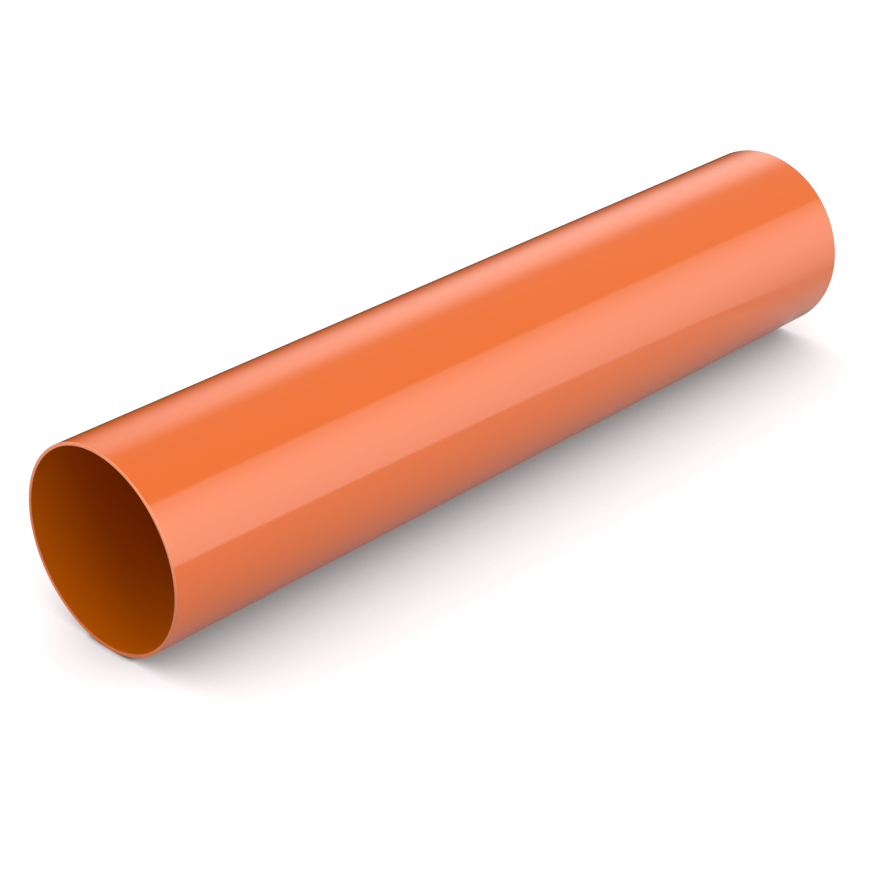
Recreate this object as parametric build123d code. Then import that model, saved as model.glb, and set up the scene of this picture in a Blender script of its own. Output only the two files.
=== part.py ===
"""Round downpipe in rigid plastic, lying on its side.

One extruded tube of even wall, sawn square at both ends.
The saw's burr is wiped off, so each rim has a small round inside and outside.
The tube lies along X and rests on the plane Z = 0, with its middle over the origin.
"""
import os

from build123d import *

# Driving dimensions, in millimetres
outside_diameter = 110.0
wall_thickness = 1.8
pipe_length = 520.0
rim_round = 0.3

# A round can't take more than its share of the wall that carries two of them
widest_rim_round = 0.45 * wall_thickness

outside_radius = outside_diameter / 2
bore_radius = outside_radius - wall_thickness
axis_height = outside_radius


def wall_section():
    """The ring that comes out of the die, drawn in the plane of the pipe's left end."""
    left_end = Plane(origin=(-pipe_length / 2, 0, axis_height), x_dir=(0, 1, 0), z_dir=(1, 0, 0))
    with BuildSketch(left_end) as section:
        Circle(outside_radius)
        Circle(bore_radius, mode=Mode.SUBTRACT)
    return section.sketch


def downpipe():
    """The ring drawn out to length, with the four circular edges of its ends deburred."""
    with BuildPart() as pipe:
        extrude(wall_section(), amount=pipe_length)
        rims = pipe.edges().filter_by(GeomType.CIRCLE)
        fillet(rims, radius=min(rim_round, widest_rim_round))
    return pipe.part


os.makedirs("parts", exist_ok=True)
export_step(downpipe(), "parts/pipe.step")
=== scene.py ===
import math

import bpy
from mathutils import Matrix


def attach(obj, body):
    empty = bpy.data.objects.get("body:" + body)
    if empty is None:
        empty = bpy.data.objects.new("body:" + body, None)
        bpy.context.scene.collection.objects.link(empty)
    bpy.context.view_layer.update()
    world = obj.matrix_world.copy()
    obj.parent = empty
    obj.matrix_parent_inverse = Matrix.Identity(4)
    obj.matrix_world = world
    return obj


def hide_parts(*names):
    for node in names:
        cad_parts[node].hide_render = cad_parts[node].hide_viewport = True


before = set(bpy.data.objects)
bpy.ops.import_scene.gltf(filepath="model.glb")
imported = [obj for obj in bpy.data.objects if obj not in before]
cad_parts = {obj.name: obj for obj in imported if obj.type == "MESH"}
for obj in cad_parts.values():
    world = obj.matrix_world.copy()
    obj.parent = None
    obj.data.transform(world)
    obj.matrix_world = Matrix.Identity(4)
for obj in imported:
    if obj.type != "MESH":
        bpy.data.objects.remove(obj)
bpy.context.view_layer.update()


def mm(length):
    return length / 1000.0


def perMetre(spacing):
    # a pattern's scale from its spacing in mm
    return 1000.0 / spacing


def hexToLinear(code):
    # sRGB hex to the linear colour that Blender's sockets take
    parts = [int(code[i:i + 2], 16) / 255.0 for i in (1, 3, 5)]
    return [p / 12.92 if p <= 0.04045 else ((p + 0.055) / 1.055) ** 2.4 for p in parts] + [1.0]


def addNode(tree, kind, place, sockets=None, **settings):
    # one node, its settings, and per input socket a fixed value or the output that feeds it
    node = tree.nodes.new(kind)
    node.location = place
    for name, value in settings.items():
        setattr(node, name, value)
    for name, value in (sockets or {}).items():
        if isinstance(value, bpy.types.NodeSocket):
            tree.links.new(value, node.inputs[name])
        else:
            node.inputs[name].default_value = value
    return node


def emptyMaterial(name):
    material = bpy.data.materials.new(name)
    material.use_nodes = True
    material.node_tree.nodes.clear()
    return material, material.node_tree


# Camera: a long lens before the pipe and off its left end, looking down on it
camera = {
    "place": (-0.8246, -0.7584, 0.6161),   # m
    "turn": 46.2935,       # degrees from +Y towards +X
    "down": 28.148,        # degrees below level
    "lens": 95.10,         # mm
    "sensor": 36.0,
    "farthest": 50.0,      # m
}
bpy.ops.object.select_all(action="DESELECT")
bpy.ops.object.camera_add(
    location=camera["place"],
    rotation=(math.radians(90 - camera["down"]), 0, math.radians(-camera["turn"])),
)
cam = bpy.context.object
cam.name = "photoCamera"
cam.data.lens = camera["lens"]
cam.data.sensor_width = camera["sensor"]
cam.data.clip_end = camera["farthest"]
bpy.context.scene.camera = cam
print("scene: camera placed")


# Pipe: 110 mm rainwater downpipe, the same sizes as the CAD solid
pipe = {
    "outside": 110.0,      # mm
    "wall": 1.8,
    "length": 520.0,
    "rimRound": 0.3,       # burr wiped off after the saw
    "rimSteps": 4,
    "facets": 256,
    "holdingLoops": (1.2, 8.0),   # mm from each end, they keep the shading flat along the pipe
    "sharpFrom": 60.0,     # degrees, the rim's edges turn by more
    "smoothTo": 40.0,      # degrees, the facets and the rounded rim's steps turn by less
}


def makePipe():
    half = mm(pipe["length"]) / 2
    radius = mm(pipe["outside"]) / 2
    wall = mm(pipe["wall"])

    # the die's ring at the left end: a disc, inset by the wall, its middle taken out
    bpy.ops.object.select_all(action="DESELECT")
    bpy.ops.mesh.primitive_circle_add(
        vertices=pipe["facets"], radius=radius, fill_type="NGON",
        location=(-half, 0, radius), rotation=(0, math.radians(-90), 0),
    )
    tube = bpy.context.object
    tube.name = "pipe_tube"
    tube.data.name = "pipe_tube"
    bpy.ops.object.transform_apply(location=True, rotation=True, scale=True)
    bpy.ops.object.mode_set(mode="EDIT")
    bpy.context.tool_settings.mesh_select_mode = (False, False, True)
    bpy.ops.mesh.select_all(action="SELECT")
    bpy.ops.mesh.inset(thickness=wall, depth=0)
    bpy.ops.mesh.delete(type="FACE")

    # the ring drawn out to the pipe's length
    bpy.ops.mesh.select_all(action="SELECT")
    bpy.ops.mesh.extrude_region_move(TRANSFORM_OT_translate={"value": (2 * half, 0, 0)})
    bpy.ops.mesh.select_all(action="SELECT")
    bpy.ops.mesh.normals_make_consistent(inside=False)

    # the four rim edges, deburred
    bpy.context.tool_settings.mesh_select_mode = (False, True, False)
    bpy.ops.mesh.select_all(action="DESELECT")
    bpy.ops.mesh.edges_select_sharp(sharpness=math.radians(pipe["sharpFrom"]))
    bpy.ops.mesh.bevel(
        offset=mm(pipe["rimRound"]), offset_type="OFFSET", segments=pipe["rimSteps"],
        profile=0.5, affect="EDGES", clamp_overlap=False,   # a profile of 0.5 is a quarter circle
    )
    for inset in pipe["holdingLoops"]:
        for side in (-1, 1):
            bpy.ops.mesh.select_all(action="SELECT")
            bpy.ops.mesh.bisect(plane_co=(side * (half - mm(inset)), 0, 0), plane_no=(1, 0, 0))
    bpy.ops.mesh.select_all(action="SELECT")
    bpy.ops.mesh.normals_make_consistent(inside=False)
    bpy.ops.object.mode_set(mode="OBJECT")
    bpy.ops.object.shade_smooth_by_angle(angle=math.radians(pipe["smoothTo"]))
    return tube


tube = makePipe()
print("scene: pipe modelled,", len(tube.data.polygons), "faces")


pvcIor = 1.53   # rigid PVC, in all three finishes

# Skin: the die's polished land leaves it glossy, with faint lines along the pipe
skin = {
    "colour": "#EF6D1C",
    "gloss": 0.10,         # roughness, with a little more and less in patches
    "glossChange": 0.015,
    "patchWidth": 45.45,   # mm
    "patchRange": (0.3, 0.7),   # the noise's values that give the least and the most roughness
    "lineWidth": 1.4,      # mm between die lines
    "lineDepth": 0.0006,   # mm
    "lineAlong": 0.004,    # scale along the pipe, 1 across it, so that the noise becomes lines
    "lineDetail": 3.0,
    "lineGrain": 0.6,
    "peelWidth": 7.0,      # mm, slow waves that cooling leaves
    "peelDepth": 0.004,
    "peelAlong": 0.35,     # scale along the pipe, for the waves and the patches
    "peelDetail": 1.0,
}


def makeSkin():
    # extruded rigid PVC: even colour right through, clear sharp highlights, barely lined along its length
    material, tree = emptyMaterial("extrudedPvcSkin")
    place = addNode(tree, "ShaderNodeTexCoord", (-1200, 0)).outputs["Object"]
    lines = addNode(tree, "ShaderNodeMapping", (-1000, -200), {
        "Vector": place, "Scale": (skin["lineAlong"], 1, 1),
    })
    dieLines = addNode(tree, "ShaderNodeTexNoise", (-800, -200), {
        "Vector": lines.outputs["Vector"], "Scale": perMetre(skin["lineWidth"]),
        "Detail": skin["lineDetail"], "Roughness": skin["lineGrain"],
    })
    waves = addNode(tree, "ShaderNodeMapping", (-1000, -500), {
        "Vector": place, "Scale": (skin["peelAlong"], 1, 1),
    })
    peel = addNode(tree, "ShaderNodeTexNoise", (-800, -500), {
        "Vector": waves.outputs["Vector"], "Scale": perMetre(skin["peelWidth"]),
        "Detail": skin["peelDetail"],
    })
    lineBump = addNode(tree, "ShaderNodeBump", (-500, -200), {
        "Height": dieLines.outputs["Fac"], "Distance": mm(skin["lineDepth"]),
    })
    bump = addNode(tree, "ShaderNodeBump", (-300, -300), {
        "Height": peel.outputs["Fac"], "Distance": mm(skin["peelDepth"]),
        "Normal": lineBump.outputs["Normal"],
    })
    patches = addNode(tree, "ShaderNodeTexNoise", (-800, 200), {
        "Vector": waves.outputs["Vector"], "Scale": perMetre(skin["patchWidth"]),
    })
    gloss = addNode(tree, "ShaderNodeMapRange", (-500, 200), {
        "Value": patches.outputs["Fac"],
        "From Min": skin["patchRange"][0], "From Max": skin["patchRange"][1],
        "To Min": skin["gloss"] - skin["glossChange"], "To Max": skin["gloss"] + skin["glossChange"],
    })
    shader = addNode(tree, "ShaderNodeBsdfPrincipled", (0, 0), {
        "Base Color": hexToLinear(skin["colour"]), "Roughness": gloss.outputs["Result"],
        "IOR": pvcIor, "Normal": bump.outputs["Normal"],
    })
    addNode(tree, "ShaderNodeOutputMaterial", (300, 0), {"Surface": shader.outputs["BSDF"]})
    return material


# Bore: it never touches a polished die, so it stays matt
bore = {
    # painted shade: a darker copy of the skin's through-coloured orange, for the shade inside the pipe
    "colour": "#CC6300",
    "rough": 0.6,
    "shine": 0.02,         # specular level, 0.5 is the usual highlight
    "lineWidth": 2.0,      # mm between the lines that drawing leaves
    "lineDepth": 0.01,
    "lineAlong": 0.01,     # scale along the pipe, 1 across it
}


def makeBore():
    # extruded rigid PVC, free inner face: matt, so the light that comes in only deepens its colour; its
    # base colour is painted shade, darker than the skin's same orange
    material, tree = emptyMaterial("drawnPvcBore")
    place = addNode(tree, "ShaderNodeTexCoord", (-1000, 0)).outputs["Object"]
    lines = addNode(tree, "ShaderNodeMapping", (-800, -200), {
        "Vector": place, "Scale": (bore["lineAlong"], 1, 1),
    })
    drawLines = addNode(tree, "ShaderNodeTexNoise", (-600, -200), {
        "Vector": lines.outputs["Vector"], "Scale": perMetre(bore["lineWidth"]),
    })
    bump = addNode(tree, "ShaderNodeBump", (-300, -200), {
        "Height": drawLines.outputs["Fac"], "Distance": mm(bore["lineDepth"]),
    })
    shader = addNode(tree, "ShaderNodeBsdfPrincipled", (0, 0), {
        "Base Color": hexToLinear(bore["colour"]), "Roughness": bore["rough"], "IOR": pvcIor,
        "Specular IOR Level": bore["shine"], "Normal": bump.outputs["Normal"],
    })
    addNode(tree, "ShaderNodeOutputMaterial", (300, 0), {"Surface": shader.outputs["BSDF"]})
    return material


# Rim: sawn and deburred
rim = {
    "top": "#FF9E71",      # painted light: the cut ring's colour at its lit top
    # painted shade: the cut ring's colour at its shaded bottom
    "bottom": "#D47042",
    "paintedLightRise": (30.0, 100.0),   # mm up the pipe, where the painted light starts and where it is whole
    "rough": 0.4,
    "toothWidth": 0.6,     # mm between saw marks
    "toothDepth": 0.02,
    "strokeAlong": 0.05,   # scale along the saw's stroke, 1 across it
}


def makeRim():
    # rigid PVC, sawn: the teeth stress it white, so the cut ring is paler and duller than the skin
    # on top of that its colour is painted lighter at the top and darker at the bottom, as light and shade
    # fall
    material, tree = emptyMaterial("sawnPvcRim")
    place = addNode(tree, "ShaderNodeTexCoord", (-1000, 0)).outputs["Object"]
    strokes = addNode(tree, "ShaderNodeMapping", (-800, -200), {
        "Vector": place, "Scale": (1, 1, rim["strokeAlong"]),
    })
    marks = addNode(tree, "ShaderNodeTexNoise", (-600, -200), {
        "Vector": strokes.outputs["Vector"], "Scale": perMetre(rim["toothWidth"]),
    })
    bump = addNode(tree, "ShaderNodeBump", (-300, -200), {
        "Height": marks.outputs["Fac"], "Distance": mm(rim["toothDepth"]),
    })
    # painted light and shade: the ring's colour runs from darker at the bottom to lighter at the top
    height = addNode(tree, "ShaderNodeSeparateXYZ", (-800, 200), {"Vector": place}).outputs["Z"]
    share = addNode(tree, "ShaderNodeMapRange", (-600, 200), {
        "Value": height, "From Min": mm(rim["paintedLightRise"][0]), "From Max": mm(rim["paintedLightRise"][1]),
    }, interpolation_type="SMOOTHSTEP")
    colour = addNode(tree, "ShaderNodeMixRGB", (-300, 200), {
        "Fac": share.outputs["Result"],
        "Color1": hexToLinear(rim["bottom"]), "Color2": hexToLinear(rim["top"]),
    })
    shader = addNode(tree, "ShaderNodeBsdfPrincipled", (0, 0), {
        "Base Color": colour.outputs["Color"], "Roughness": rim["rough"], "IOR": pvcIor,
        "Normal": bump.outputs["Normal"],
    })
    addNode(tree, "ShaderNodeOutputMaterial", (300, 0), {"Surface": shader.outputs["BSDF"]})
    return material


def dressPipe():
    radius = mm(pipe["outside"]) / 2
    middle = radius - mm(pipe["wall"]) / 2
    half = mm(pipe["length"]) / 2
    for material in (makeSkin(), makeBore(), makeRim()):
        tube.data.materials.append(material)
    skinSlot, boreSlot, rimSlot = 0, 1, 2   # in the order just given
    for face in tube.data.polygons:
        away = math.hypot(face.center.y, face.center.z - radius)
        if abs(face.center.x) > half - mm(pipe["rimRound"]):
            face.material_index = rimSlot
        elif away < middle:
            face.material_index = boreSlot
        else:
            face.material_index = skinSlot


dressPipe()
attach(tube, "root")
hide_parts("pipe")
print("scene: materials on")


# Floor: white paper in an even white room. Seen directly or in the gloss it shows a painted shadow,
# the share of the room that the pipe hides, and burns out to the page's white a pipe's width away.
# The gloss looks past it where a table top ends: across the right end, and behind the pipe
floor = {
    "size": 30.0,          # m
    "under": 0.1,          # mm below the pipe
    "paper": 0.26,         # share of the light that the paper gives back to the pipe
    # painted bounce light: a faint pink that shows in the shadow
    "paintedBounceTint": "#FFF7F7",
    "seen": 1.33,          # how bright it looks in full light, 1 is white
    "reach": 1.0,          # m, how far off the pipe still shades it
    "contrast": 0.88,      # power that the shadow is taken to
    "glossContrast": 1.14,   # and its power in the gloss, which mirrors it deeper
    "depth": 7.0,          # power of the hidden share, so that only the deepest shadow gets the next two
    "lift": (0.085, 0.08, 0.065),  # painted light that gets in there
    "bounce": (0.3, 0.04, 0.02),   # and the painted orange glow that the gloss shows there
    "ends": (0.24, 0.275),   # m from the middle, where the shadow opens out past the pipe's ends
    "endLight": 0.08,      # how much lighter the paper is painted there
    "endGloss": (-0.14, -0.56),    # painted shade: how much darker the gloss shows the right one, and what the next adds
    "endDepth": (-0.068, -0.024),  # m, the y where it starts to get darker still, and where it has
    "endCurve": 2.0,       # and its power on the way
    "contact": 0.8,        # power of the painted contact shadow, the thin dark line where the pipe meets the paper
    "contactReach": 0.003,   # m, how wide it is
    "rightEdge": 0.44,     # m, x - y at the table's right edge
    "backEdge": 0.12,      # m behind the pipe's middle
}


def paintedShadowColour(tree, ray):
    # painted shadow: the share of the room that the paper sees, and the painted light that gets in where
    # that is least
    unshaded = addNode(tree, "ShaderNodeAmbientOcclusion", (-800, 200), {"Distance": floor["reach"]})
    contrast = addNode(tree, "ShaderNodeMath", (-800, 0), {
        0: ray["Is Glossy Ray"], 1: floor["glossContrast"] - floor["contrast"], 2: floor["contrast"],
    }, operation="MULTIPLY_ADD")
    shade = addNode(tree, "ShaderNodeGamma", (-550, 150), {
        "Color": unshaded.outputs["Color"], "Gamma": contrast.outputs["Value"],
    })
    tinted = addNode(tree, "ShaderNodeVectorMath", (-550, 0), {
        0: shade.outputs["Color"], 1: hexToLinear(floor["paintedBounceTint"])[:3],
    }, operation="MULTIPLY")
    hidden = addNode(tree, "ShaderNodeMath", (-800, -150), {
        0: 1.0, 1: unshaded.outputs["AO"],
    }, operation="SUBTRACT")
    deep = addNode(tree, "ShaderNodeMath", (-650, -150), {
        0: hidden.outputs["Value"], 1: floor["depth"],
    }, operation="POWER")
    stray = addNode(tree, "ShaderNodeMixRGB", (-500, -150), {
        "Fac": ray["Is Glossy Ray"], "Color1": [*floor["lift"], 1.0], "Color2": [*floor["bounce"], 1.0],
    })
    warmed = addNode(tree, "ShaderNodeVectorMath", (-350, -50), {
        0: deep.outputs["Value"], 1: stray.outputs["Color"], 2: tinted.outputs["Vector"],
    }, operation="MULTIPLY_ADD")
    return warmed.outputs["Vector"]


def paintedShadowLevel(tree, ray, across):
    # painted light and shade past the pipe's ends: lighter to the eye, and the right one darker in the
    # gloss
    right, left = (addNode(tree, "ShaderNodeMapRange", (-1000, -600 - side * 100), {
        "Value": across["X"], "From Min": side * floor["ends"][0], "From Max": side * floor["ends"][1],
    }, interpolation_type="SMOOTHSTEP").outputs["Result"] for side in (1, -1))
    past = addNode(tree, "ShaderNodeMath", (-600, -600), {0: right, 1: left}, operation="ADD")
    lighter = addNode(tree, "ShaderNodeMath", (-400, -600), {
        0: past.outputs["Value"], 1: floor["endLight"], 2: 1.0,
    }, operation="MULTIPLY_ADD")
    near = addNode(tree, "ShaderNodeMapRange", (-800, -900), {
        "Value": across["Y"], "From Min": floor["endDepth"][0], "From Max": floor["endDepth"][1],
    })
    nearer = addNode(tree, "ShaderNodeMath", (-600, -900), {
        0: near.outputs["Result"], 1: floor["endCurve"],
    }, operation="POWER")
    loss = addNode(tree, "ShaderNodeMath", (-400, -900), {
        0: nearer.outputs["Value"], 1: floor["endGloss"][1], 2: floor["endGloss"][0],
    }, operation="MULTIPLY_ADD")
    darker = addNode(tree, "ShaderNodeMath", (-200, -900), {
        0: right, 1: loss.outputs["Value"], 2: 1.0,
    }, operation="MULTIPLY_ADD")

    # the painted contact shadow, a thin line of contact, to the eye alone
    touching = addNode(tree, "ShaderNodeAmbientOcclusion", (-600, -750), {
        "Distance": floor["contactReach"],
    })
    line = addNode(tree, "ShaderNodeMath", (-400, -750), {
        0: touching.outputs["AO"], 1: floor["contact"],
    }, operation="POWER")
    grounded = addNode(tree, "ShaderNodeMath", (-250, -700), {
        0: lighter.outputs["Value"], 1: line.outputs["Value"],
    }, operation="MULTIPLY")
    gain = addNode(tree, "ShaderNodeMix", (-200, -600), {
        "Factor": ray["Is Glossy Ray"], "A": grounded.outputs["Value"], "B": darker.outputs["Value"],
    })
    level = addNode(tree, "ShaderNodeMath", (0, -600), {
        0: gain.outputs["Result"], 1: floor["seen"],
    }, operation="MULTIPLY")
    return level.outputs["Value"]


def pastTable(tree, ray, across):
    # 1 where the gloss looks past the table's edges, and else 0
    slant = addNode(tree, "ShaderNodeMath", (-900, -200), {
        0: across["X"], 1: across["Y"],
    }, operation="SUBTRACT")
    rightOf = addNode(tree, "ShaderNodeMath", (-700, -200), {
        0: slant.outputs["Value"], 1: floor["rightEdge"],
    }, operation="GREATER_THAN")
    behind = addNode(tree, "ShaderNodeMath", (-700, -400), {
        0: across["Y"], 1: floor["backEdge"],
    }, operation="GREATER_THAN")
    beyond = addNode(tree, "ShaderNodeMath", (-500, -300), {
        0: rightOf.outputs["Value"], 1: behind.outputs["Value"],
    }, operation="MAXIMUM")
    gone = addNode(tree, "ShaderNodeMath", (-300, -200), {
        0: beyond.outputs["Value"], 1: ray["Is Glossy Ray"],
    }, operation="MULTIPLY")
    return gone.outputs["Value"]


def makeFloor():
    bpy.ops.object.select_all(action="DESELECT")
    bpy.ops.mesh.primitive_plane_add(size=floor["size"], location=(0, 0, -mm(floor["under"])))
    paper = bpy.context.object
    paper.name = "floorPaper"
    material, tree = emptyMaterial("floorPaper")
    ray = addNode(tree, "ShaderNodeLightPath", (-1300, 300)).outputs
    place = addNode(tree, "ShaderNodeTexCoord", (-1300, -300)).outputs["Object"]
    across = addNode(tree, "ShaderNodeSeparateXYZ", (-1100, -300), {"Vector": place}).outputs

    # what the pipe gets back from the paper, and how the paper looks with its painted shadow
    diffuse = addNode(tree, "ShaderNodeBsdfDiffuse", (-300, 400), {"Color": [floor["paper"]] * 3 + [1.0]})
    shown = addNode(tree, "ShaderNodeEmission", (-150, 150), {
        "Color": paintedShadowColour(tree, ray), "Strength": paintedShadowLevel(tree, ray, across),
    })
    direct = addNode(tree, "ShaderNodeMath", (-1000, 400), {
        0: ray["Is Camera Ray"], 1: ray["Is Glossy Ray"],
    }, operation="MAXIMUM")
    seen = addNode(tree, "ShaderNodeMath", (-800, 400), {
        0: direct.outputs["Value"], 1: ray["Is Transmission Ray"],
    }, operation="MAXIMUM")
    look = addNode(tree, "ShaderNodeMixShader", (0, 250), {
        "Fac": seen.outputs["Value"], 1: diffuse.outputs["BSDF"], 2: shown.outputs["Emission"],
    })
    clear = addNode(tree, "ShaderNodeBsdfTransparent", (0, 0))
    surface = addNode(tree, "ShaderNodeMixShader", (250, 100), {
        "Fac": pastTable(tree, ray, across), 1: look.outputs["Shader"], 2: clear.outputs["BSDF"],
    })
    addNode(tree, "ShaderNodeOutputMaterial", (450, 100), {"Surface": surface.outputs["Shader"]})
    paper.data.materials.append(material)


makeFloor()
print("scene: floor laid")

# Soft boxes that only the gloss sees. A turn is in degrees from +Y towards +X, as seen from the pipe,
# and glow and across are steps of brightness, 1 is white, by the share of the way up and along
frontBox = {
    "away": 2.0,           # m
    "turn": 192.9,
    "span": (-12.0, 4.0),  # m along the box, from the point nearest to the pipe
    "low": -5.0,           # m, its foot is below the table top
    "high": 4.155,
    "glow": [(0.0, 0.9), (0.28, 1.8), (0.43, 2.55), (0.53, 3.2), (0.61, 3.58), (0.68, 3.66),
             (0.76, 3.6), (0.88, 2.95), (1.0, 2.5)],
    "across": [(0.0, 0.4), (0.30, 0.58), (0.47, 0.72), (0.55, 0.835), (0.64, 1.0), (0.70, 1.0),
               (1.0, 0.8)],
}
backBox = {
    "away": 4.0,
    "turn": 20.0,
    "span": (-5.0, 9.0),
    "low": -3.0,
    "high": 5.1,
    "glow": [(0.0, 0.03), (0.28, 0.03), (0.335, 0.12), (0.39, 0.27), (0.446, 0.6), (0.505, 1.15),
             (0.58, 1.7), (0.65, 1.92), (0.76, 1.9), (0.88, 1.32), (0.94, 1.0), (1.0, 0.9)],
    "across": [(0.0, 0.3), (0.38, 0.46), (0.42, 0.7), (0.44, 0.82), (0.49, 1.0), (1.0, 1.0)],
}


def addRamp(tree, place, factor, steps):
    # a colour ramp in greys, its stops at the shares given, and the level that its white stands for
    top = max(level for _, level in steps)
    ramp = addNode(tree, "ShaderNodeValToRGB", place, {"Fac": factor})
    stops = ramp.color_ramp.elements
    while len(stops) < len(steps):
        stops.new(0.5)   # anywhere, as the next lines move it
    for stop, (share, level) in zip(stops, steps):
        stop.position = share
        stop.color = [level / top] * 3 + [1.0]
    return ramp.outputs["Color"], top


def makeGlow(name, box):
    material, tree = emptyMaterial(name)
    sheet = addNode(tree, "ShaderNodeTexCoord", (-900, 0)).outputs["UV"]
    parts = addNode(tree, "ShaderNodeSeparateXYZ", (-700, 0), {"Vector": sheet}).outputs
    up, upTop = addRamp(tree, (-500, 100), parts["Y"], box["glow"])
    along, alongTop = addRamp(tree, (-500, -150), parts["X"], box["across"])
    both = addNode(tree, "ShaderNodeVectorMath", (-200, 0), {0: up, 1: along}, operation="MULTIPLY")
    glow = addNode(tree, "ShaderNodeEmission", (0, 0), {
        "Color": both.outputs["Vector"], "Strength": upTop * alongTop,
    })
    addNode(tree, "ShaderNodeOutputMaterial", (200, 0), {"Surface": glow.outputs["Emission"]})
    return material


def makeBox(name, box):
    # an upright panel that faces the pipe, placed in its mesh
    turn = math.radians(box["turn"])
    left, right = box["span"]
    middle = (left + right) / 2
    bpy.ops.object.select_all(action="DESELECT")
    bpy.ops.mesh.primitive_plane_add(
        size=1,
        location=(
            box["away"] * math.sin(turn) + middle * math.cos(turn),
            box["away"] * math.cos(turn) - middle * math.sin(turn),
            (box["low"] + box["high"]) / 2,
        ),
        rotation=(math.radians(90), 0, -turn),
    )
    panel = bpy.context.object
    panel.name = name
    panel.scale = (right - left, box["high"] - box["low"], 1)
    bpy.ops.object.transform_apply(location=True, rotation=True, scale=True)
    panel.data.materials.append(makeGlow(name, box))
    panel.visible_camera = False
    panel.visible_diffuse = False
    panel.visible_transmission = False
    panel.visible_shadow = False


makeBox("frontSoftBox", frontBox)
makeBox("backSoftBox", backBox)

# Lamps: the light that falls on the skin, and from the left on the rim and the bore's mouth.
# The gloss shows none of them. Turn and up are in degrees, away and side in m, power in W
lamps = {
    "keyLamp": {"turn": 190.0, "up": 27.0, "away": 3.0, "side": 1.8, "power": 30.5},
    "leftLamp": {"turn": 290.0, "up": 20.0, "away": 3.0, "side": 1.5, "power": 21.0},
    "rightLamp": {"turn": 125.0, "up": 25.0, "away": 1.6, "side": 0.8, "power": 2.4},
    "backLamp": {"turn": 0.0, "up": 15.0, "away": 3.0, "side": 1.5, "power": 21.0},
}


def addLamp(name, lamp):
    turn, up = math.radians(lamp["turn"]), math.radians(lamp["up"])
    bpy.ops.object.select_all(action="DESELECT")
    bpy.ops.object.light_add(
        type="AREA",
        location=(
            lamp["away"] * math.cos(up) * math.sin(turn),
            lamp["away"] * math.cos(up) * math.cos(turn),
            lamp["away"] * math.sin(up),
        ),
        rotation=(math.radians(90) - up, 0, math.radians(180) - turn),
    )
    light = bpy.context.object
    light.name = name
    light.data.size = lamp["side"]
    light.data.energy = lamp["power"]
    light.visible_glossy = False
    light.visible_camera = False


for name, lamp in lamps.items():
    addLamp(name, lamp)

# Room: even white all round, and the page's full white where the camera looks past the floor
room = {"colour": "#FFFFFF", "strength": 0.72}


def makeRoom():
    world = bpy.data.worlds.new("whiteRoom")
    bpy.context.scene.world = world
    world.use_nodes = True
    tree = world.node_tree
    tree.nodes.clear()
    ray = addNode(tree, "ShaderNodeLightPath", (-600, 200)).outputs
    level = addNode(tree, "ShaderNodeMath", (-300, 200), {
        0: ray["Is Camera Ray"], 1: 1.0 - room["strength"], 2: room["strength"],
    }, operation="MULTIPLY_ADD")
    air = addNode(tree, "ShaderNodeBackground", (0, 0), {
        "Color": hexToLinear(room["colour"]), "Strength": level.outputs["Value"],
    })
    addNode(tree, "ShaderNodeOutputWorld", (200, 0), {"Surface": air.outputs["Background"]})


makeRoom()
bpy.context.scene.view_settings.view_transform = "Standard"
print("scene: soft boxes, lamps and room set")
